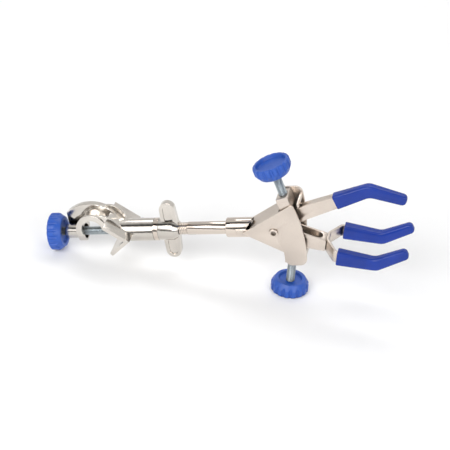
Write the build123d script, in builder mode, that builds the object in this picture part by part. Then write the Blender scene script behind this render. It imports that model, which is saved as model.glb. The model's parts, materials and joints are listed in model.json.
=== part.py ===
from math import atan2, cos, radians, sin, sqrt, tan
import os

from build123d import *

# Three-prong, two-screw clamp with a swivel boss head, lying as it comes to rest:
# the lower knob's face and the rim of the boss knob touch the table.
# Lengths are in millimetres and angles in degrees.
# Stations along the main axis count from the pivot rivet, positive towards the prongs.

os.makedirs("parts", exist_ok=True)

# Screws and knobs
screw_lean = 13.0
screw_crossing = 14.5
screw_radius = 2.95
thread_clearance = 0.06
knob_radius = 13.15
knob_thickness = 9.4
knob_edge = 0.8
knob_shoulder_radius = 10.6
knob_shoulder_height = 4.0
knob_recess_radius = 7.6
knob_recess_depth = 1.8
knob_dish_radius = 10.8
knob_dish_depth = 2.4
knob_flutes = 16
knob_flute_radius = 1.35
knob_flute_depth = 1.2
screw_in_knob = 6.0
screw_tip_chamfer = 0.7
upper_knob_reach = 42.2

# Jaw housing, two like half shells
sheet = 1.5
housing_inside = 15.0
housing_slope = 30.0
housing_nose = 22.0
housing_corner = 15.6
housing_bulge = 20.4
housing_right = 19.9
lobe_left = 5.2
lobe_reach = 26.6
lobe_round = 5.2
corner_round = 2.2
lobe_lip_top = 18.6
wall_start = 16.0

# Centre rivet, spacers and spring
rivet_radius = 2.5
rivet_head_radius = 3.1
rivet_head_height = 1.1
rivet_dimple_radius = 1.8
rivet_dimple_depth = 2.2
pivot_clearance = 0.06
side_clearance = 0.1
spacer_radius = 4.6
wire_radius = 0.5
coil_radius = 3.85
coil_pitch = 1.05
coil_turns = 2.5
spring_leg = 16.5

# Nut blocks
nut_block_width = 8.4
nut_block_start = 17.4
nut_block_end = 26.4

# Arms and prongs, measured along and across each arm
upper_rise = 18.0
lower_drop = 13.6
arm_ear_radius = 5.0
arm_offset = 4.2
arm_wall = 1.4
arm_bend_at = 72.4
upper_arm_start = 20.0
upper_arm_height = 10.2
upper_arm_width = 7.0
upper_web_start = 24.5
upper_notch_floor = 3.3
upper_notch_start = 10.6
lower_arm_width = 11.0
lower_arm_inner_edge = 1.2
lower_arm_outer_edge = 9.4
lower_arm_straight = 18.0
lower_web_start = 20.5
lower_channel_end = 33.0
lower_arm_end = 36.0
pin_reach = 6.6
pin_radius = 2.0
tip_gap = 0.3
prong_bend_height = 6.6
prong_tip_height = 5.0
prong_bend_round = 8.0
upper_prong_bend = 38.0
upper_tip_length = 25.0
lower_prong_bend = 33.0
lower_tip_length = 22.6
upper_prong_tip_width = 4.4
fork_half_spread = 17.0
fork_base_half = 4.4
fork_height = 9.2
fork_strip = 1.9
fork_meet = 44.0
fork_round = 2.4

# Vinyl sleeves
upper_sleeve_start = 47.2
fork_sleeve_start = 45.6
sleeve_wall = 1.25
sleeve_root_width = 8.4
sleeve_tip_width = 6.0
sleeve_round = 2.0

# Ferrule and rod
ferrule_length = 12.4
ferrule_radius = 6.9
ferrule_mouth_angle = 52.0
ferrule_nose_length = 11.0
ferrule_socket = 8.0
rod_bare = 27.6
rod_radius = 4.55
rod_thread_radius = 3.95
rod_neck_depth = 1.05
rod_end_room = 1.4

# Wing nut and washer
thread_shown = 6.4
nut_length = 14.0
nut_radius = 7.8
nut_nose_length = 3.6
nut_nose_radius = 5.4
wing_lobe_radius = 5.3
wing_half_span = 21.6
wing_lobe_back = 6.3
wing_thickness = 5.2
wing_root_width = 12.0
wing_recess_margin = 2.2
wing_recess_depth = 0.9
washer_thickness = 3.6

# Boss head casting
barrel_radius = 8.0
barrel_length = 19.0
barrel_floor = 4.0
jaw_half_angle = 38.0
jaw_thickness = 2.6
jaw_upper_length = 17.6
jaw_lower_length = 14.4
jaw_width = 34.0
throat = 31.3
hook_rise = 5.0
hook_back = 24.3
hook_inner_radius = 7.6
hook_web = 2.4
hook_rim = 3.9
hook_width = 17.0
hook_flange = 2.2
gusset_radius = 25.0
gusset_back = 27.8
gusset_drop = 6.0
gusset_lip_height = 6.4
gusset_lip = 3.0
rear_wall_rise = 3.2
front_wall_rise = 1.9
channel_wall_left = 5.5
channel_wall_right = 11.5
boss_length = 14.5
boss_radius = 4.9
collar_radius = 6.9
collar_length = 4.6
collar_recess_radius = 5.3
collar_recess_depth = 2.6
boss_knob_gap = 1.8
boss_tip_room = 6.8
stop_pin_radius = 1.4
stop_pin_back = 9.8
stop_pin_depth = 3.0

# Stations along the main axis
ferrule_back = -(housing_nose + ferrule_length)
rod_shoulder = ferrule_back - rod_bare
nut_front = rod_shoulder - thread_shown
nut_back = nut_front - nut_length
barrel_front = nut_back - washer_thickness
jaw_apex = barrel_front - barrel_length
boss_inner = jaw_apex - throat
boss_outer = boss_inner - boss_length
boss_knob_inner = boss_outer - boss_knob_gap
boss_knob_outer = boss_knob_inner - knob_thickness
hook_centre = (jaw_apex - hook_back, hook_rise)
gusset_centre = (jaw_apex - gusset_back, -gusset_drop)

# Planes: the main axis rises by the screws' lean, so the lower screw stands upright
tilt = screw_lean
resting_rim = boss_knob_outer + knob_edge
lower_face_reach = knob_radius * cos(radians(tilt)) + (screw_crossing - resting_rim) * sin(radians(tilt))
lower_knob_reach = lower_face_reach - knob_thickness
along = Vector(cos(radians(tilt)), 0, sin(radians(tilt)))
crossing_point = Vector(0, 0, lower_face_reach)
pivot_point = crossing_point - along * screw_crossing
side = Plane(origin=pivot_point, x_dir=along, z_dir=(0, -1, 0))
far_side = Plane(origin=pivot_point, x_dir=along, z_dir=(0, 1, 0))
across = Plane(origin=pivot_point, x_dir=(0, 1, 0), z_dir=along)
main_axis = Axis(pivot_point, along)
lean_x = sin(radians(screw_lean))
lean_y = cos(radians(screw_lean))
upper_line = Plane(crossing_point, x_dir=(0, 1, 0), z_dir=side.y_dir * lean_y - side.x_dir * lean_x)
lower_line = Plane(crossing_point, x_dir=(0, 1, 0), z_dir=side.y_dir * -lean_y - side.x_dir * lean_x)
boss_line = Plane(pivot_point, x_dir=(0, 1, 0), z_dir=along * -1)
upper_way = side.x_dir * cos(radians(upper_rise)) + side.y_dir * sin(radians(upper_rise))
lower_way = far_side.x_dir * cos(radians(lower_drop)) + far_side.y_dir * sin(radians(lower_drop))
upper_swing = Plane(pivot_point, x_dir=upper_way, z_dir=side.z_dir)
lower_swing = Plane(pivot_point, x_dir=lower_way, z_dir=far_side.z_dir)
upper_plan = Plane(pivot_point, x_dir=upper_swing.x_dir, z_dir=upper_swing.y_dir)
lower_plan = Plane(pivot_point, x_dir=lower_swing.x_dir, z_dir=lower_swing.y_dir)

half_inside = housing_inside / 2
half_outside = half_inside + sheet
slope = tan(radians(housing_slope))


def save(name, part):
    """Label a finished piece and write its file."""
    part.label = name
    export_step(part, f"parts/{name}.step")


def section_plane(line):
    """The plane that holds a screw line, with its second axis along the line."""
    return Plane(origin=line.origin, x_dir=line.x_dir, z_dir=line.y_dir * -1)


def toward(angle, length=1.0):
    """A step of the given length at an angle in a drawing."""
    return Vector(cos(radians(angle)), sin(radians(angle))) * length


# Boss head: barrel, V jaw, hook and screw boss in one casting
with BuildPart() as boss_head:
    jaw_tip = Vector(jaw_apex, 0) + toward(180 - jaw_half_angle, jaw_upper_length)
    jaw_toe = Vector(jaw_apex, 0) + toward(180 + jaw_half_angle, jaw_lower_length)
    jaw_back = jaw_apex + jaw_thickness / sin(radians(jaw_half_angle))
    with BuildSketch(across.offset(barrel_front)):
        Circle(barrel_radius)
    extrude(amount=-(barrel_length + barrel_radius))
    with BuildSketch(side):
        with BuildLine():
            Polyline(
                jaw_tip,
                jaw_tip + toward(90 - jaw_half_angle, jaw_thickness),
                (jaw_back, 0),
                jaw_toe + toward(jaw_half_angle - 90, jaw_thickness),
                jaw_toe,
                (jaw_apex, 0),
                close=True,
            )
        make_face()
    extrude(amount=jaw_width / 2, both=True)
    with BuildSketch(boss_line.offset(-boss_inner - collar_length)):
        Circle(boss_radius)
    extrude(amount=boss_length + collar_length)
    with BuildSketch(boss_line.offset(-boss_inner - collar_length)):
        Circle(collar_radius)
    extrude(amount=2 * collar_length)
    # the hook's floor, then its low front rim
    for first, rise, plane, depth in (
        (hook_inner_radius, hook_web, side.offset(-hook_width / 2), hook_width),
        (hook_inner_radius, hook_rim, side.offset(hook_width / 2 - hook_flange), hook_flange),
    ):
        with BuildSketch(plane):
            with Locations(hook_centre):
                Circle(first + rise)
                Circle(first, mode=Mode.SUBTRACT)
                with Locations((0, -first - rise)):
                    Rectangle(4 * first, 2 * first, mode=Mode.SUBTRACT)
        extrude(amount=depth)
    # the tall rear wall, and the lip along its edge
    gusset_end = Vector(*gusset_centre) + toward(19, gusset_radius)
    gusset_left = sqrt(gusset_radius**2 - (gusset_centre[0] - boss_outer) ** 2) - gusset_drop
    with BuildSketch(side.offset(-hook_width / 2)):
        with BuildLine():
            ThreePointArc(
                gusset_end,
                Vector(*gusset_centre) + toward(90, gusset_radius),
                (boss_outer, gusset_left),
            )
            Polyline((boss_outer, gusset_left), (boss_outer, 0), (gusset_end.X, 0), gusset_end)
        make_face()
    extrude(amount=hook_flange)
    with BuildSketch(side.offset(hook_flange - hook_width / 2)):
        with BuildLine():
            outer_lip = CenterArc(gusset_centre, gusset_radius, 24, 108)
            inner_lip = CenterArc(gusset_centre, gusset_radius - gusset_lip_height, 24, 108)
            Line(outer_lip @ 0, inner_lip @ 0)
            Line(outer_lip @ 1, inner_lip @ 1)
        make_face()
    extrude(amount=gusset_lip)
    # the channel's two walls go on over the upper wing to the barrel
    wing_face = jaw_tip + toward(90 - jaw_half_angle, jaw_thickness)
    for rise, plane in (
        (rear_wall_rise, side.offset(-hook_width / 2)),
        (front_wall_rise, side.offset(hook_width / 2 - hook_flange)),
    ):
        with BuildSketch(plane):
            with BuildLine():
                wall = ThreePointArc(
                    wing_face + toward(180 - jaw_half_angle, channel_wall_left),
                    wing_face + toward(90 - jaw_half_angle, rise),
                    wing_face + toward(-jaw_half_angle, channel_wall_right),
                )
                Polyline(wall @ 1, (jaw_apex, 0), jaw_tip, wall @ 0)
            make_face()
        extrude(amount=hook_flange)
    # the open throat, the V groove and the bores
    throat_floor = jaw_toe.Y - 2 * jaw_thickness
    with BuildSketch(side):
        with Locations(hook_centre):
            Circle(hook_inner_radius)
        with BuildLine():
            Polyline(
                (boss_inner, hook_rise),
                (hook_centre[0] + hook_inner_radius, hook_rise),
                jaw_tip,
                (jaw_apex, 0),
                jaw_toe,
                (jaw_toe.X, throat_floor),
                (boss_inner, throat_floor),
                close=True,
            )
        make_face()
    extrude(amount=jaw_width, both=True, mode=Mode.SUBTRACT)
    with BuildSketch(boss_line.offset(-boss_inner)):
        Circle(collar_recess_radius)
    extrude(amount=collar_recess_depth, mode=Mode.SUBTRACT)
    with BuildSketch(boss_line.offset(-boss_inner)):
        Circle(screw_radius + thread_clearance)
    extrude(amount=boss_length, mode=Mode.SUBTRACT)
    with BuildSketch(across.offset(barrel_front)):
        Circle(rod_thread_radius + thread_clearance)
    extrude(amount=-(barrel_length - barrel_floor), mode=Mode.SUBTRACT)
    stop_pin_station = barrel_front - stop_pin_back
    stop_pin_height = rod_thread_radius - rod_neck_depth + thread_clearance + stop_pin_radius
    stop_pin_out = sqrt(barrel_radius**2 - stop_pin_height**2) - side_clearance
    with BuildSketch(far_side.offset(-stop_pin_depth)):
        with Locations((stop_pin_station, -stop_pin_height)):
            Circle(stop_pin_radius)
    extrude(amount=2 * barrel_radius, mode=Mode.SUBTRACT)
save("boss_head", boss_head.part)

# Stop pin that keeps the rod in the barrel and lets it turn
with BuildPart() as stop_pin:
    with BuildSketch(far_side.offset(-stop_pin_depth)):
        with Locations((stop_pin_station, -stop_pin_height)):
            Circle(stop_pin_radius)
    extrude(amount=stop_pin_depth + stop_pin_out)
save("rod_stop_pin", stop_pin.part)

# Three like fluted knobs on three plain screws
boss_tip = -(jaw_apex - boss_tip_room)
arm_screw_tip = pin_reach + pin_radius + tip_gap
for place, line, inner, tip in (
    ("boss", boss_line, -boss_knob_inner, boss_tip),
    ("upper", upper_line, upper_knob_reach, arm_screw_tip),
    ("lower", lower_line, lower_knob_reach, arm_screw_tip),
):
    with BuildPart() as knob:
        outer = inner + knob_thickness
        hole_radius = screw_radius + thread_clearance
        with BuildSketch(section_plane(line)):
            with BuildLine():
                Polyline(
                    (0, inner + screw_in_knob + thread_clearance),
                    (hole_radius, inner + screw_in_knob + thread_clearance),
                    (hole_radius, inner + knob_recess_depth),
                    (knob_recess_radius, inner + knob_recess_depth),
                    (knob_recess_radius + knob_edge, inner),
                    (knob_shoulder_radius, inner),
                    (knob_radius, inner + knob_shoulder_height),
                    (knob_radius, outer - knob_edge),
                    (knob_radius - knob_edge, outer),
                    (knob_dish_radius, outer),
                    (knob_dish_radius - knob_edge, outer - knob_dish_depth),
                    (0, outer - knob_dish_depth),
                    close=True,
                )
            make_face()
        revolve(axis=Axis(line.origin, line.z_dir))
        with BuildSketch(line.offset(inner)):
            with PolarLocations(knob_radius + knob_flute_radius - knob_flute_depth, knob_flutes, 180 / knob_flutes):
                Circle(knob_flute_radius)
        extrude(amount=knob_thickness, mode=Mode.SUBTRACT)
    save(f"{place}_knob", knob.part)

    with BuildPart() as screw:
        with BuildSketch(line.offset(tip)):
            Circle(screw_radius)
        extrude(amount=inner + screw_in_knob - tip)
        inward_edges = screw.edges().sort_by(Axis(line.origin, line.z_dir))[:1]
        chamfer(inward_edges, screw_tip_chamfer)
    save(f"{place}_screw", screw.part)

# Rod: threaded end in the barrel, bare stretch, end held in the ferrule
rod_inner_end = jaw_apex + barrel_floor + rod_end_room
rod_outer_end = ferrule_back + ferrule_socket
with BuildPart() as extension_rod:
    with BuildSketch(across.offset(rod_inner_end)):
        Circle(rod_thread_radius)
    extrude(amount=rod_shoulder - rod_inner_end)
    with BuildSketch(across.offset(rod_shoulder)):
        Circle(rod_radius)
    extrude(amount=rod_outer_end - rod_shoulder)
    neck_half = stop_pin_radius + side_clearance
    with BuildSketch(across.offset(stop_pin_station - neck_half)):
        Circle(rod_radius)
        Circle(rod_thread_radius - rod_neck_depth, mode=Mode.SUBTRACT)
    extrude(amount=2 * neck_half, mode=Mode.SUBTRACT)
save("extension_rod", extension_rod.part)

# Washer between the barrel and the wing nut
with BuildPart() as swivel_washer:
    with BuildSketch(across.offset(barrel_front)):
        Circle(barrel_radius)
        Circle(rod_thread_radius + thread_clearance, mode=Mode.SUBTRACT)
    extrude(amount=washer_thickness - thread_clearance)
    fillet(swivel_washer.edges().filter_by(GeomType.CIRCLE).sort_by(SortBy.RADIUS)[-2:], 0.5)
save("swivel_washer", swivel_washer.part)

# Wing nut: coned hub and two swept wings with a sunk panel on each face
with BuildPart() as wing_nut:
    wing_station = nut_front - wing_lobe_back
    lobe_height = wing_half_span - wing_lobe_radius
    with BuildSketch(across.offset(nut_back)):
        Circle(nut_radius)
    extrude(amount=nut_length - nut_nose_length)
    with BuildSketch(across.offset(nut_front - nut_nose_length)):
        Circle(nut_radius)
    with BuildSketch(across.offset(nut_front)):
        Circle(nut_nose_radius)
    loft()
    with BuildSketch(side):
        for way in (1, -1):
            with BuildLine():
                Polyline(
                    (wing_station + wing_lobe_radius, way * lobe_height),
                    (nut_front - side_clearance, way * nut_nose_radius * 0.9),
                    (nut_front - wing_root_width, way * nut_nose_radius * 0.9),
                    (wing_station - wing_lobe_radius, way * lobe_height),
                )
                ThreePointArc(
                    (wing_station - wing_lobe_radius, way * lobe_height),
                    (wing_station, way * wing_half_span),
                    (wing_station + wing_lobe_radius, way * lobe_height),
                )
            make_face()
    extrude(amount=wing_thickness / 2, both=True)
    panel_radius = wing_lobe_radius - wing_recess_margin
    panel_start = nut_radius + wing_recess_margin / 2
    for face_plane in (side, far_side):
        with BuildSketch(face_plane.offset(wing_thickness / 2 - wing_recess_depth)):
            for way in (1, -1):
                with Locations((wing_station, way * (panel_start + lobe_height) / 2)):
                    SlotCenterToCenter(lobe_height - panel_start, 2 * panel_radius, rotation=90)
        extrude(amount=wing_recess_depth, mode=Mode.SUBTRACT)
    with BuildSketch(across.offset(nut_back)):
        Circle(rod_thread_radius + thread_clearance)
    extrude(amount=nut_length, mode=Mode.SUBTRACT)
save("wing_nut", wing_nut.part)

# Ferrule: turned collar with a V mouth, and a wedge that fills the housing's nose
wall_gap = sheet / cos(radians(housing_slope))
inner_nose = housing_nose - wall_gap / slope
with BuildPart() as ferrule:
    mouth = -(housing_nose - side_clearance * 8)
    mouth_run = ferrule_radius / tan(radians(ferrule_mouth_angle))
    with BuildSketch(across.offset(ferrule_back)):
        Circle(ferrule_radius)
    extrude(amount=mouth + mouth_run - ferrule_back)
    with BuildSketch(side):
        with BuildLine():
            Polyline(
                (mouth, 0),
                (mouth + 2 * mouth_run, 2 * ferrule_radius),
                (mouth + 4 * mouth_run, 0),
                (mouth + 2 * mouth_run, -2 * ferrule_radius),
                close=True,
            )
        make_face()
    extrude(amount=2 * ferrule_radius, both=True, mode=Mode.SUBTRACT)
    nose_end = -(housing_nose - ferrule_nose_length - wall_start / 4)
    neck_height = slope * (inner_nose - wall_start)
    wedge_height = slope * (inner_nose + nose_end)
    with BuildSketch(side):
        with BuildLine():
            Polyline(
                (mouth - mouth_run, neck_height),
                (-wall_start, neck_height),
                (nose_end, wedge_height),
                (nose_end, -wedge_height),
                (-wall_start, -neck_height),
                (mouth - mouth_run, -neck_height),
                close=True,
            )
        make_face()
    extrude(amount=half_inside, both=True)
    with BuildSketch(across.offset(ferrule_back)):
        Circle(rod_radius)
    extrude(amount=ferrule_socket, mode=Mode.SUBTRACT)
    chamfer(ferrule.edges().filter_by(GeomType.CIRCLE).sort_by(main_axis)[:2].sort_by(SortBy.RADIUS)[-1:], 0.6)
save("ferrule", ferrule.part)

# Housing: two like half shells, each a plate with a lobe, a folded wall and a folded lip
for name, plane in (("front_housing", side), ("rear_housing", far_side)):
    with BuildPart() as shell:
        corner = (housing_corner, slope * (housing_nose + housing_corner))
        notch = (lobe_left, -slope * (housing_nose + lobe_left))
        with BuildSketch(plane.offset(half_inside)) as plate_outline:
            with BuildLine():
                Line((-housing_nose, 0), corner)
                ThreePointArc(corner, (housing_bulge, 0), (housing_right, -lobe_reach))
                Polyline((housing_right, -lobe_reach), (lobe_left, -lobe_reach), notch, (-housing_nose, 0))
            make_face()
            fillet(plate_outline.vertices().group_by(Axis.Y)[-1], corner_round)
            fillet(plate_outline.vertices().group_by(Axis.Y)[0], lobe_round)
            Circle(rivet_radius, mode=Mode.SUBTRACT)
        extrude(amount=sheet)
        with BuildSketch(plane.offset(-half_inside)):
            with BuildLine():
                Polyline(
                    (-wall_start, -slope * (housing_nose - wall_start)),
                    notch,
                    (lobe_left, notch[1] + wall_gap),
                    (-wall_start, -slope * (housing_nose - wall_start) + wall_gap),
                    close=True,
                )
            make_face()
            lip_length = lobe_reach - lobe_round - lobe_lip_top
            with Locations((housing_right - sheet / 2, -lobe_lip_top - lip_length / 2)):
                Rectangle(sheet, lip_length)
        extrude(amount=housing_inside)
    save(name, shell.part)

# Rivet through both plates, with two spacers inside them
with BuildPart() as pivot_rivet:
    with BuildSketch(side):
        Circle(rivet_radius)
    extrude(amount=half_outside, both=True)
    for plane in (side, far_side):
        with BuildSketch(plane.offset(half_outside)):
            Circle(rivet_head_radius)
        extrude(amount=rivet_head_height)
        with BuildSketch(plane.offset(half_outside + rivet_head_height - rivet_dimple_depth)):
            Circle(rivet_dimple_radius)
        extrude(amount=rivet_dimple_depth, mode=Mode.SUBTRACT)
        rim = pivot_rivet.faces().sort_by(Axis(pivot_point, plane.z_dir))[-1].edges()
        fillet(rim.sort_by(SortBy.RADIUS)[-1:], rivet_head_height / 2)
save("pivot_rivet", pivot_rivet.part)

with BuildPart() as pivot_spacers:
    spacer_inner_face = lower_arm_width / 2 + side_clearance
    for plane in (side, far_side):
        with BuildSketch(plane.offset(spacer_inner_face)):
            Circle(spacer_radius)
            Circle(rivet_radius + pivot_clearance, mode=Mode.SUBTRACT)
        extrude(amount=half_inside - spacer_inner_face)
save("pivot_spacers", pivot_spacers.part)

# Spring on the rivet: its two legs push the arm pins apart
coil_length = coil_pitch * coil_turns
coil_plane = Plane(pivot_point, x_dir=side.y_dir, z_dir=side.z_dir).offset(-coil_length / 2)
coil = coil_plane * Helix(coil_pitch, coil_length, coil_radius)
with BuildPart() as return_spring:
    with BuildSketch(Plane(origin=coil @ 0, z_dir=coil % 0)):
        Circle(wire_radius)
    sweep(path=coil, is_frenet=True)
    for end in (coil @ 0, coil @ 1):
        with BuildSketch(Plane(origin=end, x_dir=(0, 1, 0), z_dir=along).offset(-wire_radius / 2)):
            Circle(wire_radius)
        extrude(amount=spring_leg)
save("return_spring", return_spring.part)

# Threaded blocks that carry the two arm screws
for name, line in (("upper_nut_block", upper_line), ("lower_nut_block", lower_line)):
    with BuildPart() as nut_block:
        with BuildSketch(line.offset(nut_block_start)):
            Rectangle(housing_inside, nut_block_width)
            Circle(screw_radius + thread_clearance, mode=Mode.SUBTRACT)
        extrude(amount=nut_block_end - nut_block_start)
    save(name, nut_block.part)


def prong_outline(start, half_start, tip_length, bend, grow):
    """Side view of a straight bar that narrows, bends inwards and ends round."""
    bend_point = Vector(arm_bend_at, arm_offset)
    tip_point = bend_point + toward(-bend, tip_length + grow)
    across_bend = toward(90 - bend / 2, (prong_bend_height / 2 + grow) / cos(radians(bend / 2)))
    across_tip = toward(90 - bend, prong_tip_height / 2 + grow)
    with BuildSketch(Plane.XY) as outline:
        with BuildLine():
            Polyline(
                (start, arm_offset - half_start),
                (start, arm_offset + half_start),
                bend_point + across_bend,
                tip_point + across_tip,
                tip_point - across_tip,
                bend_point - across_bend,
                close=True,
            )
        make_face()
        fillet(outline.vertices().sort_by(Axis.X)[2:4], prong_bend_round)
        fillet(outline.vertices().sort_by(Axis.X)[-2:], 0.8 * (prong_tip_height / 2 + grow))
    return outline.sketch_local


def taper_outline(start, half_start, taper_from, half_end, end):
    """Plan view of a bar of even width that narrows from one station to its end."""
    with BuildSketch(Plane.XY) as outline:
        with BuildLine():
            Polyline(
                (start, -half_start),
                (taper_from, -half_start),
                (end, -half_end),
                (end, half_end),
                (taper_from, half_start),
                (start, half_start),
                close=True,
            )
        make_face()
    return outline.sketch_local


def half_height(station, start, half_start):
    """Half height of a prong at a station on its straight run."""
    share = (station - start) / (arm_bend_at - start)
    return half_start + (prong_bend_height / 2 - half_start) * share


# Upper arm: a narrow channel, open below, that runs on as the single prong
far_end = arm_bend_at + upper_tip_length
tall = 4 * arm_bend_at
upper_half = upper_arm_width / 2
arm_hole = rivet_radius + pivot_clearance
pin_station_u = screw_crossing - pin_reach * lean_x
pin_station_w = pin_reach * lean_y
pin_distance = sqrt(pin_station_u**2 + pin_station_w**2)
pin_angle = atan2(pin_station_w, pin_station_u)
upper_pin = Vector(cos(pin_angle - radians(upper_rise)), sin(pin_angle - radians(upper_rise))) * pin_distance
lower_pin = Vector(cos(pin_angle - radians(lower_drop)), sin(pin_angle - radians(lower_drop))) * pin_distance
with BuildPart() as upper_arm:
    with BuildSketch(upper_swing):
        Circle(arm_ear_radius)
        with Locations((upper_arm_start, arm_offset)):
            Rectangle(2 * arm_wall, upper_arm_height)
        make_hull()
        add(prong_outline(upper_arm_start, upper_arm_height / 2, upper_tip_length, upper_prong_bend, 0))
        notch_length = upper_arm_start - upper_notch_start
        with Locations((upper_notch_start, upper_notch_floor)):
            Rectangle(notch_length, 2 * upper_arm_height, align=(Align.MIN, Align.MIN), mode=Mode.SUBTRACT)
        Circle(arm_hole, mode=Mode.SUBTRACT)
        with Locations(upper_pin):
            Circle(pin_radius, mode=Mode.SUBTRACT)
    extrude(amount=upper_half, both=True)
    with BuildSketch(upper_plan.offset(-tall / 2)):
        add(taper_outline(-upper_arm_start, upper_half, upper_sleeve_start, upper_prong_tip_width / 2, far_end))
    extrude(amount=tall, mode=Mode.INTERSECT)
    inner_half = upper_half - arm_wall
    with BuildSketch(upper_plan.offset(-tall / 2)):
        with Locations((upper_web_start - inner_half, 0)):
            SlotCenterPoint((-upper_arm_start, 0), (0, 0), 2 * inner_half)
    extrude(amount=tall, mode=Mode.SUBTRACT)
    with BuildSketch(upper_plan.offset(arm_offset + half_height(
        upper_sleeve_start, upper_arm_start, upper_arm_height / 2) - arm_wall)):
        Rectangle(2 * upper_sleeve_start, 2 * inner_half)
    extrude(amount=-tall / 2, mode=Mode.SUBTRACT)
save("upper_arm", upper_arm.part)

# Lower arm: a wide channel, open above, that straddles the upper arm's ears
with BuildPart() as lower_arm:
    lower_half = lower_arm_width / 2
    lower_depth = lower_arm_outer_edge - lower_arm_inner_edge
    with BuildSketch(lower_swing):
        Circle(arm_ear_radius)
        with Locations((lower_arm_straight, lower_arm_inner_edge)):
            Rectangle(lower_arm_end - lower_arm_straight, lower_depth, align=(Align.MIN, Align.MIN))
        make_hull()
        Circle(arm_hole, mode=Mode.SUBTRACT)
        with Locations(lower_pin):
            Circle(pin_radius, mode=Mode.SUBTRACT)
    extrude(amount=lower_half, both=True)
    inner_half = lower_half - arm_wall
    with BuildSketch(lower_plan.offset(lower_arm_outer_edge - arm_wall)):
        with Locations((lower_channel_end - inner_half, 0)):
            SlotCenterPoint((-lower_channel_end, 0), (0, 0), 2 * inner_half)
    extrude(amount=-tall / 2, mode=Mode.SUBTRACT)
    with BuildSketch(lower_plan.offset(-tall / 2)):
        Rectangle(2 * lower_web_start, 2 * inner_half)
    extrude(amount=tall, mode=Mode.SUBTRACT)
save("lower_arm", lower_arm.part)

# Cross pins that the screw tips push on
for name, plane, place, width in (
    ("upper_arm_pin", upper_swing, upper_pin, upper_arm_width),
    ("lower_arm_pin", lower_swing, lower_pin, lower_arm_width),
):
    with BuildPart() as arm_pin:
        with BuildSketch(plane):
            with Locations(place):
                Circle(pin_radius)
        extrude(amount=width / 2, both=True)
    save(name, arm_pin.part)

# Fork: a strip on edge, welded to the lower arm's end, that makes the two lower prongs
with BuildPart() as fork:
    with BuildSketch(lower_swing):
        add(prong_outline(lower_arm_end, fork_height / 2, lower_tip_length, lower_prong_bend, 0))
    extrude(amount=tall / 2, both=True)
    base_line = lower_arm_end + fork_strip / 2
    with BuildSketch(lower_plan.offset(-tall / 2)):
        with BuildLine():
            FilletPolyline(
                (far_end, -fork_half_spread),
                (fork_meet, -fork_half_spread),
                (base_line, -fork_base_half),
                (base_line, fork_base_half),
                (fork_meet, fork_half_spread),
                (far_end, fork_half_spread),
                radius=fork_round,
            )
        trace(line_width=fork_strip)
    extrude(amount=tall, mode=Mode.INTERSECT)
save("fork", fork.part)

# Sleeves on the three prongs
upper_first_half = half_height(upper_sleeve_start, upper_arm_start, upper_arm_height / 2) + sleeve_wall
fork_first_half = half_height(fork_sleeve_start, lower_arm_end, fork_height / 2) + sleeve_wall
for name, plane, plan, way, metal, first, half_first, tip_length, bend in (
    ("upper_sleeve", upper_swing, upper_plan, 0, upper_arm, upper_sleeve_start,
     upper_first_half, upper_tip_length, upper_prong_bend),
    ("front_sleeve", lower_swing, lower_plan, -1, fork, fork_sleeve_start,
     fork_first_half, lower_tip_length, lower_prong_bend),
    ("rear_sleeve", lower_swing, lower_plan, 1, fork, fork_sleeve_start,
     fork_first_half, lower_tip_length, lower_prong_bend),
):
    with BuildPart() as sleeve:
        middle = way * fork_half_spread
        with BuildSketch(plane.offset(middle)):
            add(prong_outline(first, half_first, tip_length, bend, sleeve_wall))
        extrude(amount=sleeve_root_width, both=True)
        with BuildSketch(plan.offset(-tall / 2)):
            with Locations((0, -middle)):
                add(taper_outline(0, sleeve_root_width / 2, first, sleeve_tip_width / 2, far_end))
        extrude(amount=tall, mode=Mode.INTERSECT)
        mouth_face = sleeve.faces().sort_by(Axis(pivot_point, plane.x_dir))[0]
        flanks = sleeve.faces().sort_by(Axis(pivot_point, plane.z_dir))
        long_edges = (flanks[0].edges() + flanks[-1].edges()) - mouth_face.edges()
        fillet(long_edges, sleeve_round)
        add(metal.part, mode=Mode.SUBTRACT)
    save(name, sleeve.part)
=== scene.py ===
"""Look of a three-prong laboratory clamp with a swivel boss head.

Materials, screw threads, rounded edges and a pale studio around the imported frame, in metres.
"""

import json
import math

import bmesh
import bpy
from mathutils import Matrix, Vector


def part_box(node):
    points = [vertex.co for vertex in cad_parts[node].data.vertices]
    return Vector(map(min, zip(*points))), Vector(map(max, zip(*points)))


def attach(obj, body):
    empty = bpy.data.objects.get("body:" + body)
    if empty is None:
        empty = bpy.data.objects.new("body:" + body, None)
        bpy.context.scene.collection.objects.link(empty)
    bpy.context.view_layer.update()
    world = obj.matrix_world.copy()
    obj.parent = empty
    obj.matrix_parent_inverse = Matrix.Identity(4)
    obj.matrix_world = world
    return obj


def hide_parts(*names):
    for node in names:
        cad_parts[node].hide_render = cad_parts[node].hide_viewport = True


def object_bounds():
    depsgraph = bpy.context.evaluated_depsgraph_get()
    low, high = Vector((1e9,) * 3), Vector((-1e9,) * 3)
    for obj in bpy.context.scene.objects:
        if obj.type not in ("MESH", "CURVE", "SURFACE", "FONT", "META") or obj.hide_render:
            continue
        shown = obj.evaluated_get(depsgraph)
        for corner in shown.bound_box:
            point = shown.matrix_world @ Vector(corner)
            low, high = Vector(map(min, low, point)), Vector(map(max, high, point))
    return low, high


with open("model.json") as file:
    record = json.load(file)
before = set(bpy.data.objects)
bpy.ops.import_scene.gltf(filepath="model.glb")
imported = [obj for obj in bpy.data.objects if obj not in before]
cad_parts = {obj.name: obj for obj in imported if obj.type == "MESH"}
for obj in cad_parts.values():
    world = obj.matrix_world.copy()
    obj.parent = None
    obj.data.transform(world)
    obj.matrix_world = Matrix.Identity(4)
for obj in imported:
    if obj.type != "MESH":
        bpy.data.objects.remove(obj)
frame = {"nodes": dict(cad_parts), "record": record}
CAD_LOW, CAD_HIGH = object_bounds()
NODES = frame["nodes"]
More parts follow.
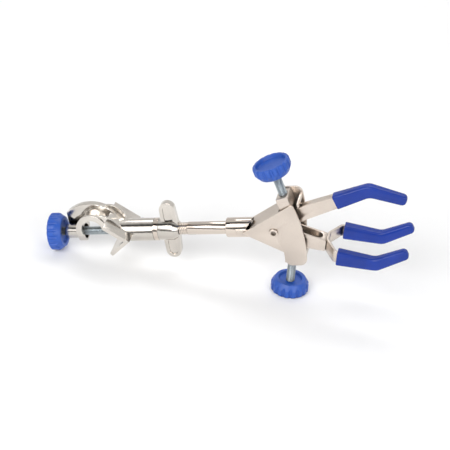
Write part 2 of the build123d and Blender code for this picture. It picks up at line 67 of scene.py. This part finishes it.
BODY_OF = {node: body for body, nodes in frame["record"]["behaviour"]["bodies"].items() for node in nodes}

bl_info = {
    "name": "Laboratory clamp look",
    "version": (1, 0, 0),
    "blender": (4, 5, 0),
    "location": "View3D > Sidebar > Clamp",
    "description": "Builds the finish, threads and studio of a laboratory clamp around its packed frame",
    "category": "Object",
}


# Fixed values of the look

# painted shade: the colours laid into crevices, between parts and into the knobs' flutes, and how far from
# other surfaces it reaches on metal and on plastic
CREVICE_SHADE_COLOUR = (0.035, 0.028, 0.022, 1.0)
FLUTE_SHADE_COLOUR = (0.004, 0.016, 0.11, 1.0)
METAL_SHADE_REACH = 0.007
PLASTIC_SHADE_REACH = 0.003
WELD_DISTANCE = 2e-6
FLAT_ANGLE = math.radians(0.4)
KNOB_EDGE = 0.00045
KNOB_EDGE_ANGLE = 24.0
SHORTEST_SCREW = 0.02
# how far the dip flows: size of a cell of the skin, and smoothing passes
DIP_CELL = 0.00042
DIP_PASSES = 22
# rod thread: how far it runs into the nut, how far its crest stays under the rod, and its depth in pitches
THREAD_IN_NUT = 0.002
THREAD_UNDER_ROD = 0.00022
ROD_THREAD_DEPTH = 0.4
SCREW_THREAD_DEPTH = 0.54
# brightness of the room over the clamp, by degrees from the horizon in front to the one behind
ROOM_BANDS = ((4, 0.05), (11, 0.04), (16, 0.85), (24, 1.5), (56, 1.5), (63, 0.03), (84, 0.03), (92, 0.72))
ROOM_FRONT = (0.35, 0.33, 0.31, 1.0)
ROOM_BEHIND = (0.8, 0.8, 0.8, 1.0)
# lamps: name, place (x from the clamp's middle), size, share of the key light's power
LAMPS = (
    ("key", (-0.5, -1.05, 0.95), (1.0, 0.6), 1.0),
    ("fill", (0.9, -0.9, 0.6), (0.6, 0.6), 0.35),
    ("top", (0.0, 0.7, 1.2), (1.2, 0.4), 0.5),
)
# studio sheet: half width, front edge, start and radius of the sweep, top, gap under the clamp
SHEET_HALF_WIDTH = 5.0
SHEET_FRONT = -3.0
SWEEP_START = 1.6
SWEEP_RADIUS = 0.9
SWEEP_STEPS = 12
SHEET_TOP = 4.0
SHEET_GAP = 0.0002
PAPER = (0.93, 0.93, 0.93, 1.0)
# point that the camera looks at, from the rivet
AIM = Vector((-0.0355, 0.0, -0.0035))


# Settings

class ClampFinish(bpy.types.PropertyGroup):
    """Colours and surface detail of the clamp's materials."""

    knob_colour: bpy.props.FloatVectorProperty(
        name="Knob colour", description="Moulded plastic of the three knobs", size=4,
        subtype="COLOR", default=(0.020, 0.092, 0.44, 1.0))
    sleeve_colour: bpy.props.FloatVectorProperty(
        name="Sleeve colour", description="Dipped vinyl on the prongs", size=4,
        subtype="COLOR", default=(0.004, 0.034, 0.30, 1.0))
    plate_colour: bpy.props.FloatVectorProperty(
        name="Plate colour", description="Nickel plate on sheet and turned parts", size=4,
        subtype="COLOR", default=(0.74, 0.655, 0.58, 1.0))
    cast_colour: bpy.props.FloatVectorProperty(
        name="Casting colour", description="Nickel plate over the boss head casting", size=4,
        subtype="COLOR", default=(0.72, 0.675, 0.62, 1.0))
    zinc_colour: bpy.props.FloatVectorProperty(
        name="Zinc colour", description="Blue-grey zinc plate on the screws", size=4,
        subtype="COLOR", default=(0.42, 0.47, 0.50, 1.0))
    grain: bpy.props.FloatProperty(
        name="Grain size", description="Size of the casting's grain", default=0.0011,
        unit="LENGTH", subtype="DISTANCE", precision=5)


class ClampDetail(bpy.types.PropertyGroup):
    """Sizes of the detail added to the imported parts."""

    screw_pitch: bpy.props.FloatProperty(
        name="Screw pitch", description="Thread pitch of the three knob screws", default=0.001,
        unit="LENGTH", subtype="DISTANCE", precision=5)
    rod_pitch: bpy.props.FloatProperty(
        name="Rod pitch", description="Thread pitch under the wing nut", default=0.00125,
        unit="LENGTH", subtype="DISTANCE", precision=5)
    edge: bpy.props.FloatProperty(
        name="Sheet edge", description="Rounding of punched sheet edges", default=0.00022,
        unit="LENGTH", subtype="DISTANCE", precision=5)
    cast_edge: bpy.props.FloatProperty(
        name="Cast edge", description="Rounding of cast edges", default=0.0006,
        unit="LENGTH", subtype="DISTANCE", precision=5)


class ClampStudio(bpy.types.PropertyGroup):
    """Camera and light of the studio."""

    azimuth: bpy.props.FloatProperty(
        name="Azimuth", description="Camera angle round the clamp", default=math.radians(11.5),
        unit="ROTATION", subtype="ANGLE")
    elevation: bpy.props.FloatProperty(
        name="Elevation", description="Camera angle above the clamp", default=math.radians(32.0),
        unit="ROTATION", subtype="ANGLE")
    nose_up: bpy.props.FloatProperty(
        name="Nose up", description="Turn that follows the clamp's resting lean", default=math.radians(4.36),
        unit="ROTATION", subtype="ANGLE")
    distance: bpy.props.FloatProperty(
        name="Distance", description="Camera distance from the middle of the picture", default=1.207,
        unit="LENGTH", subtype="DISTANCE")
    lens: bpy.props.FloatProperty(
        name="Lens", description="Focal length", default=140.0, unit="CAMERA", subtype="DISTANCE_CAMERA")
    room_light: bpy.props.FloatProperty(
        name="Room light", description="Strength of the light from all round", default=0.95, subtype="FACTOR")
    key_power: bpy.props.FloatProperty(
        name="Key light", description="Power of the large key light", default=9.0,
        unit="POWER", subtype="POWER")


# Materials

def new_material(name):
    """An empty node material and its shader."""
    material = bpy.data.materials.new(name)
    material.use_nodes = True
    tree = material.node_tree
    shader = tree.nodes["Principled BSDF"]
    return material, tree, shader


def noise(tree, scale, detail=4.0, rough=0.55, stretch=(1.0, 1.0, 1.0)):
    """A noise node on object coordinates, in cycles per metre."""
    where = tree.nodes.new("ShaderNodeTexCoord")
    mapping = tree.nodes.new("ShaderNodeMapping")
    mapping.inputs["Scale"].default_value = stretch
    tree.links.new(where.outputs["Object"], mapping.inputs["Vector"])
    texture = tree.nodes.new("ShaderNodeTexNoise")
    texture.inputs["Scale"].default_value = scale
    texture.inputs["Detail"].default_value = detail
    texture.inputs["Roughness"].default_value = rough
    tree.links.new(mapping.outputs["Vector"], texture.inputs["Vector"])
    return texture.outputs["Fac"]


def ramp(tree, source, low, high, from_low=0.35, from_high=0.65):
    """Maps a grey value to a range."""
    node = tree.nodes.new("ShaderNodeMapRange")
    node.inputs["From Min"].default_value = from_low
    node.inputs["From Max"].default_value = from_high
    node.inputs["To Min"].default_value = low
    node.inputs["To Max"].default_value = high
    tree.links.new(source, node.inputs["Value"])
    return node.outputs["Result"]


def tinted(tree, source, colour, dark):
    """Mixes a colour with a darker copy of itself by a grey value."""
    mix = tree.nodes.new("ShaderNodeMix")
    mix.data_type = "RGBA"
    mix.inputs["A"].default_value = (colour[0] * dark, colour[1] * dark, colour[2] * dark, 1.0)
    mix.inputs["B"].default_value = colour
    tree.links.new(source, mix.inputs["Factor"])
    return mix.outputs["Result"]


def bump(tree, source, strength, distance, chain=None):
    """A bump node, chained after another if one is given."""
    node = tree.nodes.new("ShaderNodeBump")
    node.inputs["Strength"].default_value = strength
    node.inputs["Distance"].default_value = distance
    tree.links.new(source, node.inputs["Height"])
    if chain is not None:
        tree.links.new(chain, node.inputs["Normal"])
    return node.outputs["Normal"]


def painted_edge_highlight(tree, radius):
    """Painted highlight: bright where an edge is, from the bevel of the shading normal."""
    bevel = tree.nodes.new("ShaderNodeBevel")
    bevel.inputs["Radius"].default_value = radius
    geometry = tree.nodes.new("ShaderNodeNewGeometry")
    dot = tree.nodes.new("ShaderNodeVectorMath")
    dot.operation = "DOT_PRODUCT"
    tree.links.new(bevel.outputs["Normal"], dot.inputs[0])
    tree.links.new(geometry.outputs["Normal"], dot.inputs[1])
    return ramp(tree, dot.outputs["Value"], 1.0, 0.0, 0.80, 0.99)


def paint_crevice_shade(tree, colour, depth, dark):
    """Painted shade: darkens a colour where other surfaces stand close by, in crevices and between parts."""
    near = tree.nodes.new("ShaderNodeAmbientOcclusion")
    near.samples = 8
    near.inputs["Distance"].default_value = depth
    mix = tree.nodes.new("ShaderNodeMix")
    mix.data_type = "RGBA"
    mix.inputs["A"].default_value = dark
    tree.links.new(ramp(tree, near.outputs["AO"], 0.0, 1.0, 0.15, 0.62), mix.inputs["Factor"])
    tree.links.new(colour, mix.inputs["B"])
    return mix.outputs["Result"]


def plated_metal(name, colour, rough, grain, grain_depth, stretch=(1.0, 1.0, 1.0), dark=0.82):
    """Plated metal: cloudy tint, uneven gloss, fine grain, painted highlights on the edges and painted shade in
    crevices.
    """
    material, tree, shader = new_material(name)
    clouds = ramp(tree, noise(tree, 42.0, 3.0), 0.0, 1.0)
    fine = noise(tree, 1.0 / grain, 5.0, 0.6, stretch)
    base = tinted(tree, clouds, colour, dark)
    # painted highlight: a lighter copy of the plate colour along the edges
    edge_highlight_mask = painted_edge_highlight(tree, 0.0004)
    lift = tree.nodes.new("ShaderNodeMix")
    lift.data_type = "RGBA"
    lift.inputs["B"].default_value = tuple(min(1.0, part * 1.3) for part in colour[:3]) + (1.0,)
    tree.links.new(edge_highlight_mask, lift.inputs["Factor"])
    tree.links.new(base, lift.inputs["A"])
    # painted shade in crevices and between parts of the metal
    shaded = paint_crevice_shade(tree, lift.outputs["Result"], METAL_SHADE_REACH, CREVICE_SHADE_COLOUR)
    tree.links.new(shaded, shader.inputs["Base Color"])
    shader.inputs["Metallic"].default_value = 1.0
    tree.links.new(ramp(tree, fine, rough * 0.8, rough * 1.25), shader.inputs["Roughness"])
    tree.links.new(bump(tree, fine, 0.35, grain_depth), shader.inputs["Normal"])
    return material


def moulded_plastic(name, colour, rough, grain):
    """Moulded plastic: faint mottle, fine spark grain, paler edges as painted highlights and painted shade in
    the flutes.
    """
    material, tree, shader = new_material(name)
    clouds = ramp(tree, noise(tree, 60.0, 3.0), 0.0, 1.0)
    fine = noise(tree, 1.0 / grain, 3.0, 0.6)
    base = tinted(tree, clouds, colour, 0.86)
    # painted highlight: a paler copy of the knob colour along the edges, at half strength
    edge_highlight_mask = painted_edge_highlight(tree, 0.0003)
    edge_highlight_mix = tree.nodes.new("ShaderNodeMix")
    edge_highlight_mix.data_type = "RGBA"
    edge_highlight_mix.inputs["B"].default_value = tuple(0.72 * c + 0.1 for c in colour[:3]) + (1.0,)
    weight = tree.nodes.new("ShaderNodeMath")
    weight.operation = "MULTIPLY"
    weight.inputs[1].default_value = 0.5
    tree.links.new(edge_highlight_mask, weight.inputs[0])
    tree.links.new(weight.outputs["Value"], edge_highlight_mix.inputs["Factor"])
    tree.links.new(base, edge_highlight_mix.inputs["A"])
    # painted shade in the knobs' flutes and recesses
    shaded = paint_crevice_shade(tree, edge_highlight_mix.outputs["Result"], PLASTIC_SHADE_REACH, FLUTE_SHADE_COLOUR)
    tree.links.new(shaded, shader.inputs["Base Color"])
    tree.links.new(ramp(tree, fine, rough * 0.85, rough * 1.2), shader.inputs["Roughness"])
    shader.inputs["IOR"].default_value = 1.5
    tree.links.new(bump(tree, fine, 0.25, 0.00004), shader.inputs["Normal"])
    return material


def dipped_vinyl(name, colour):
    """Dipped vinyl: deep gloss under a wet coat, with slow waves from the dip."""
    material, tree, shader = new_material(name)
    clouds = ramp(tree, noise(tree, 55.0, 2.0), 0.0, 1.0)
    tree.links.new(tinted(tree, clouds, colour, 0.8), shader.inputs["Base Color"])
    shader.inputs["Roughness"].default_value = 0.16
    shader.inputs["Specular IOR Level"].default_value = 0.42
    waves = noise(tree, 150.0, 2.0, 0.4)
    pores = noise(tree, 1900.0, 2.0, 0.5)
    first = bump(tree, waves, 0.35, 0.00035)
    tree.links.new(bump(tree, pores, 0.12, 0.00003, first), shader.inputs["Normal"])
    return material


_made = {}


def material(kind):
    """One of the clamp's materials, made once."""
    if kind in _made:
        return _made[kind]
    look = bpy.context.scene.clamp_finish
    plate, cast, zinc = tuple(look.plate_colour), tuple(look.cast_colour), tuple(look.zinc_colour)
    if kind == "sheet":
        _made[kind] = plated_metal("nickel_sheet", plate, 0.30, 0.0009, 0.00003, (1.0, 1.0, 3.0), 0.9)
    elif kind == "turned":
        _made[kind] = plated_metal("nickel_turned", plate, 0.11, 0.0006, 0.00001, (9.0, 1.0, 1.0), 0.9)
    elif kind == "cast":
        _made[kind] = plated_metal("nickel_casting", cast, 0.17, look.grain, 0.00007)
    elif kind == "zinc":
        _made[kind] = plated_metal("zinc_plate", zinc, 0.3, 0.0005, 0.00002)
    elif kind == "knob":
        _made[kind] = moulded_plastic("knob_plastic", tuple(look.knob_colour), 0.38, 0.00035)
    elif kind == "vinyl":
        _made[kind] = dipped_vinyl("sleeve_vinyl", tuple(look.sleeve_colour))
    return _made[kind]


# Mesh helpers

def dress(obj, kind):
    """Gives a piece its material."""
    obj.data.materials.clear()
    obj.data.materials.append(material(kind))


def welded_copy(node, kind):
    """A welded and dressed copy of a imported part, standing in for it."""
    work = bmesh.new()
    work.from_mesh(NODES[node].data)
    bmesh.ops.remove_doubles(work, verts=work.verts, dist=WELD_DISTANCE)
    bmesh.ops.dissolve_limit(work, angle_limit=FLAT_ANGLE, verts=work.verts, edges=work.edges, delimit=set())
    mesh = bpy.data.meshes.new(node + "_look")
    work.to_mesh(mesh)
    work.free()
    for polygon in mesh.polygons:
        polygon.use_smooth = True
    obj = bpy.data.objects.new(node + "_look", mesh)
    bpy.context.scene.collection.objects.link(obj)
    dress(obj, kind)
    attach(obj, BODY_OF[node])
    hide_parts(node)
    return obj


def soften(node, kind, width, segments=2, angle=28.0):
    """A stand-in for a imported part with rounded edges."""
    obj = welded_copy(node, kind)
    bevel = obj.modifiers.new("rounded edges", "BEVEL")
    bevel.width = width
    bevel.segments = segments
    bevel.limit_method = "ANGLE"
    bevel.angle_limit = math.radians(angle)
    bevel.use_clamp_overlap = True
    bevel.harden_normals = True


def node_axis(node):
    """The long axis of a straight packed cylinder: its middle, direction, length and radius."""
    points = [v.co.copy() for v in NODES[node].data.vertices]
    middle = sum(points, Vector()) / len(points)
    far = max(points, key=lambda p: (p - middle).length)
    way = (far - middle).normalized()
    for _ in range(12):
        total = Vector()
        for p in points:
            q = p - middle
            total += q * q.dot(way)
        way = total.normalized()
    along = [(p - middle).dot(way) for p in points]
    radius = max(((p - middle) - way * (p - middle).dot(way)).length for p in points)
    start, end = min(along), max(along)
    return middle + way * start, way, end - start, radius


def thread_mesh(name, start, way, length, radius, pitch, depth, chamfer=0.0007, sides=28, steps=7):
    """A threaded bar with chamfered ends, as a mesh in place."""
    rows = max(2, int(length / pitch * steps))
    turn = way.to_track_quat("Z", "Y").to_matrix()
    work = bmesh.new()
    rings = []
    for row in range(rows + 1):
        along = length * row / rows
        limit = radius - max(0.0, chamfer - min(along, length - along))
        ring = []
        for side in range(sides):
            angle = math.tau * side / sides
            phase = (along / pitch - side / sides) % 1.0
            groove = abs(2.0 * phase - 1.0)
            groove = min(1.0, max(0.0, (groove - 0.12) / 0.76))
            reach = min(limit, radius - depth * groove)
            spot = turn @ Vector((reach * math.cos(angle), reach * math.sin(angle), along))
            ring.append(work.verts.new(start + spot))
        rings.append(ring)
    for low, high in zip(rings, rings[1:]):
        for side in range(sides):
            after = (side + 1) % sides
            work.faces.new((low[side], low[after], high[after], high[side]))
    work.faces.new(list(reversed(rings[0])))
    work.faces.new(rings[-1])
    mesh = bpy.data.meshes.new(name)
    work.to_mesh(mesh)
    work.free()
    for polygon in mesh.polygons:
        polygon.use_smooth = len(polygon.vertices) == 4
    obj = bpy.data.objects.new(name, mesh)
    bpy.context.scene.collection.objects.link(obj)
    return obj


# Operators, one for each piece or group of like pieces

class CLAMP_OT_boss_head(bpy.types.Operator):
    """Plate the boss head casting and its stop pin"""

    bl_idname = "clamp.boss_head"
    bl_label = "Boss head"

    def execute(self, context):
        soften("boss_head", "cast", context.scene.clamp_detail.cast_edge, 3)
        soften("rod_stop_pin", "zinc", context.scene.clamp_detail.edge)
        return {"FINISHED"}


class CLAMP_OT_knobs(bpy.types.Operator):
    """Mould the three fluted knobs"""

    bl_idname = "clamp.knobs"
    bl_label = "Knobs"

    def execute(self, context):
        for node in ("boss_knob", "upper_knob", "lower_knob"):
            soften(node, "knob", KNOB_EDGE, 3, KNOB_EDGE_ANGLE)
        return {"FINISHED"}


class CLAMP_OT_screws(bpy.types.Operator):
    """Cut the threads of the three knob screws"""

    bl_idname = "clamp.screws"
    bl_label = "Screws"

    def execute(self, context):
        pitch = context.scene.clamp_detail.screw_pitch
        for node in ("boss_screw", "upper_screw", "lower_screw"):
            start, way, length, radius = node_axis(node)
            if length < SHORTEST_SCREW:
                raise RuntimeError(node + " is too short to be a screw")
            obj = thread_mesh(node + "_thread", start, way, length, radius, pitch, pitch * SCREW_THREAD_DEPTH)
            dress(obj, "zinc")
            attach(obj, BODY_OF[node])
            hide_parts(node)
        return {"FINISHED"}


class CLAMP_OT_rod(bpy.types.Operator):
    """Turn the rod, its thread and the ferrule"""

    bl_idname = "clamp.rod"
    bl_label = "Rod and ferrule"

    def execute(self, context):
        soften("extension_rod", "turned", context.scene.clamp_detail.edge)
        soften("ferrule", "turned", context.scene.clamp_detail.cast_edge)
        # the turns of thread that show between the wing nut and the rod's shoulder
        start, way, length, radius = node_axis("extension_rod")
        if way.x < 0.0:
            start, way = start + way * length, -way
        spots = [v.co - start for v in NODES["extension_rod"].data.vertices]
        shoulder = min(p.dot(way) for p in spots if (p - way * p.dot(way)).length > radius - 0.0001)
        nut_face = max((v.co - start).dot(way) for v in NODES["wing_nut"].data.vertices)
        begin = nut_face - THREAD_IN_NUT
        pitch = context.scene.clamp_detail.rod_pitch
        thread = thread_mesh(
            "rod_thread", start + way * begin, way, shoulder - begin, radius - THREAD_UNDER_ROD,
            pitch, pitch * ROD_THREAD_DEPTH, chamfer=0.0)
        dress(thread, "turned")
        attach(thread, BODY_OF["extension_rod"])
        return {"FINISHED"}


class CLAMP_OT_wing_nut(bpy.types.Operator):
    """Cast the wing nut and turn its washer"""

    bl_idname = "clamp.wing_nut"
    bl_label = "Wing nut and washer"

    def execute(self, context):
        soften("wing_nut", "cast", context.scene.clamp_detail.cast_edge * 1.4, 3, 24.0)
        soften("swivel_washer", "turned", context.scene.clamp_detail.edge)
        return {"FINISHED"}


class CLAMP_OT_housing(bpy.types.Operator):
    """Press the two housing halves"""

    bl_idname = "clamp.housing"
    bl_label = "Housing"

    def execute(self, context):
        for node in ("front_housing", "rear_housing"):
            soften(node, "sheet", context.scene.clamp_detail.edge)
        return {"FINISHED"}


class CLAMP_OT_pivot(bpy.types.Operator):
    """Finish the rivet, its spacers and the spring"""

    bl_idname = "clamp.pivot"
    bl_label = "Pivot"

    def execute(self, context):
        edge = context.scene.clamp_detail.edge
        soften("pivot_rivet", "sheet", edge)
        soften("pivot_spacers", "turned", edge)
        spring = NODES["return_spring"]
        dress(spring, "zinc")
        return {"FINISHED"}


class CLAMP_OT_nut_blocks(bpy.types.Operator):
    """Finish the two threaded blocks"""

    bl_idname = "clamp.nut_blocks"
    bl_label = "Nut blocks"

    def execute(self, context):
        for node in ("upper_nut_block", "lower_nut_block"):
            soften(node, "sheet", context.scene.clamp_detail.edge * 1.5)
        return {"FINISHED"}


class CLAMP_OT_arms(bpy.types.Operator):
    """Press the arms and the fork, with their pins"""

    bl_idname = "clamp.arms"
    bl_label = "Arms and fork"

    def execute(self, context):
        edge = context.scene.clamp_detail.edge
        for node in ("upper_arm", "lower_arm", "fork"):
            soften(node, "sheet", edge * 1.6)
        for node in ("upper_arm_pin", "lower_arm_pin"):
            soften(node, "zinc", edge)
        return {"FINISHED"}


class CLAMP_OT_sleeves(bpy.types.Operator):
    """Dip the three prong sleeves"""

    bl_idname = "clamp.sleeves"
    bl_label = "Sleeves"

    def execute(self, context):
        for node in ("upper_sleeve", "front_sleeve", "rear_sleeve"):
            sleeve = welded_copy(node, "vinyl")
            # the dip rounds every edge
            skin = sleeve.modifiers.new("dipped skin", "REMESH")
            skin.mode = "VOXEL"
            skin.voxel_size = DIP_CELL
            skin.use_smooth_shade = True
            flow = sleeve.modifiers.new("flow of the dip", "SMOOTH")
            flow.factor = 0.5
            flow.iterations = DIP_PASSES
        return {"FINISHED"}


class CLAMP_OT_studio(bpy.types.Operator):
    """Set up the floor, the light and the camera"""

    bl_idname = "clamp.studio"
    bl_label = "Studio"

    def execute(self, context):
        studio = context.scene.clamp_studio
        # floor and backdrop in one curved sheet
        low, high = CAD_LOW, CAD_HIGH
        work = bmesh.new()
        profile = [(SHEET_FRONT, 0.0), (SWEEP_START, 0.0)]
        for step in range(1, SWEEP_STEPS + 1):
            bend = step * math.pi / (2 * SWEEP_STEPS)
            profile.append((SWEEP_START + SWEEP_RADIUS * math.sin(bend), SWEEP_RADIUS * (1.0 - math.cos(bend))))
        profile.append((SWEEP_START + SWEEP_RADIUS, SHEET_TOP))
        rows = []
        for depth, rise in profile:
            rows.append([work.verts.new((x, depth, rise)) for x in (-SHEET_HALF_WIDTH, SHEET_HALF_WIDTH)])
        for near, far in zip(rows, rows[1:]):
            work.faces.new((near[0], near[1], far[1], far[0]))
        mesh = bpy.data.meshes.new("studio_sheet")
        work.to_mesh(mesh)
        work.free()
        for polygon in mesh.polygons:
            polygon.use_smooth = True
        sheet = bpy.data.objects.new("studio_sheet", mesh)
        sheet.location = (0.0, 0.0, low.z - SHEET_GAP)
        context.scene.collection.objects.link(sheet)
        paper, tree, shader = new_material("studio_paper")
        shader.inputs["Base Color"].default_value = PAPER
        shader.inputs["Roughness"].default_value = 0.75
        shader.inputs["Specular IOR Level"].default_value = 0.2
        mesh.materials.append(paper)

        world = bpy.data.worlds.new("studio_air")
        world.use_nodes = True
        tree = world.node_tree
        backdrop = tree.nodes["Background"]
        backdrop.inputs["Color"].default_value = (1.0, 1.0, 1.0, 1.0)
        room = tree.nodes.new("ShaderNodeBackground")
        room.inputs["Strength"].default_value = studio.room_light
        where = tree.nodes.new("ShaderNodeTexCoord")
        split = tree.nodes.new("ShaderNodeSeparateXYZ")
        tree.links.new(where.outputs["Generated"], split.inputs["Vector"])
        # angle over the clamp, from the horizon in front to the one behind, as a share of a half turn
        front = tree.nodes.new("ShaderNodeMath")
        front.operation = "MULTIPLY"
        front.inputs[1].default_value = -1.0
        tree.links.new(split.outputs["Y"], front.inputs[0])
        angle = tree.nodes.new("ShaderNodeMath")
        angle.operation = "ARCTAN2"
        tree.links.new(split.outputs["Z"], angle.inputs[0])
        tree.links.new(front.outputs["Value"], angle.inputs[1])
        share = tree.nodes.new("ShaderNodeMath")
        share.operation = "DIVIDE"
        share.inputs[1].default_value = math.pi
        tree.links.new(angle.outputs["Value"], share.inputs[0])
        bands = tree.nodes.new("ShaderNodeValToRGB")
        stops = bands.color_ramp.elements
        stops[0].position, stops[0].color = 0.0, ROOM_FRONT
        stops[1].position, stops[1].color = 1.0, ROOM_BEHIND
        for degrees, grey in ROOM_BANDS:
            stop = stops.new(degrees / 180.0)
            stop.color = (grey, grey, grey, 1.0)
        tree.links.new(share.outputs["Value"], bands.inputs["Fac"])
        tree.links.new(bands.outputs["Color"], room.inputs["Color"])
        path = tree.nodes.new("ShaderNodeLightPath")
        choose = tree.nodes.new("ShaderNodeMixShader")
        tree.links.new(path.outputs["Is Camera Ray"], choose.inputs["Fac"])
        tree.links.new(room.outputs["Background"], choose.inputs[1])
        tree.links.new(backdrop.outputs["Background"], choose.inputs[2])
        tree.links.new(choose.outputs["Shader"], tree.nodes["World Output"].inputs["Surface"])
        context.scene.world = world

        middle = (low + high) / 2
        for name, (across, depth, rise), size, share_of_key in LAMPS:
            place = Vector((middle.x + across, depth, rise))
            data = bpy.data.lights.new(name, "AREA")
            data.shape = "RECTANGLE"
            data.size, data.size_y = size
            data.energy = studio.key_power * share_of_key
            obj = bpy.data.objects.new(name, data)
            obj.location = place
            obj.rotation_euler = (middle - place).to_track_quat("-Z", "Y").to_euler()
            context.scene.collection.objects.link(obj)

        # camera, turned with the clamp's resting lean
        a, e, turn = studio.azimuth, studio.elevation, studio.nose_up
        back = Vector((math.sin(a) * math.cos(e), -math.cos(a) * math.cos(e), math.sin(e)))
        right = Vector((math.cos(a), math.sin(a), 0.0))
        up = back.cross(right)
        lift = Matrix.Rotation(-turn, 3, "Y")
        rivet_low, rivet_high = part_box("pivot_rivet")
        rivet = (rivet_low + rivet_high) / 2
        aim = rivet + lift @ AIM
        data = bpy.data.cameras.new("camera")
        data.lens = studio.lens
        data.sensor_width = 36.0
        data.clip_end = 20.0
        camera = bpy.data.objects.new("camera", data)
        axes = Matrix((lift @ right, lift @ up, lift @ back)).transposed()
        camera.matrix_world = Matrix.Translation(aim + (lift @ back) * studio.distance) @ axes.to_4x4()
        context.scene.collection.objects.link(camera)
        context.scene.camera = camera
        context.scene.view_settings.view_transform = "Standard"
        return {"FINISHED"}


class CLAMP_PT_panel(bpy.types.Panel):
    """Buttons and settings of the clamp's look"""

    bl_label = "Clamp"
    bl_idname = "CLAMP_PT_panel"
    bl_space_type = "VIEW_3D"
    bl_region_type = "UI"
    bl_category = "Clamp"

    def draw(self, context):
        column = self.layout.column()
        for step in STEPS:
            column.operator("clamp." + step)
        for group in (context.scene.clamp_finish, context.scene.clamp_detail, context.scene.clamp_studio):
            box = self.layout.box()
            for name in group.__annotations__:
                box.prop(group, name)


STEPS = (
    "boss_head", "knobs", "screws", "rod", "wing_nut", "housing",
    "pivot", "nut_blocks", "arms", "sleeves", "studio",
)
CLASSES = (
    ClampFinish, ClampDetail, ClampStudio, CLAMP_OT_boss_head, CLAMP_OT_knobs, CLAMP_OT_screws, CLAMP_OT_rod,
    CLAMP_OT_wing_nut, CLAMP_OT_housing, CLAMP_OT_pivot, CLAMP_OT_nut_blocks, CLAMP_OT_arms, CLAMP_OT_sleeves,
    CLAMP_OT_studio, CLAMP_PT_panel,
)


def register():
    """Adds the classes and the scene's settings."""
    for cls in CLASSES:
        bpy.utils.register_class(cls)
    bpy.types.Scene.clamp_finish = bpy.props.PointerProperty(type=ClampFinish)
    bpy.types.Scene.clamp_detail = bpy.props.PointerProperty(type=ClampDetail)
    bpy.types.Scene.clamp_studio = bpy.props.PointerProperty(type=ClampStudio)


def unregister():
    """Removes them again."""
    del bpy.types.Scene.clamp_studio
    del bpy.types.Scene.clamp_detail
    del bpy.types.Scene.clamp_finish
    for cls in reversed(CLASSES):
        bpy.utils.unregister_class(cls)


def main():
    """Builds the whole look."""
    register()
    for step in STEPS:
        getattr(bpy.ops.clamp, step)()


if __name__ == "__main__":
    main()
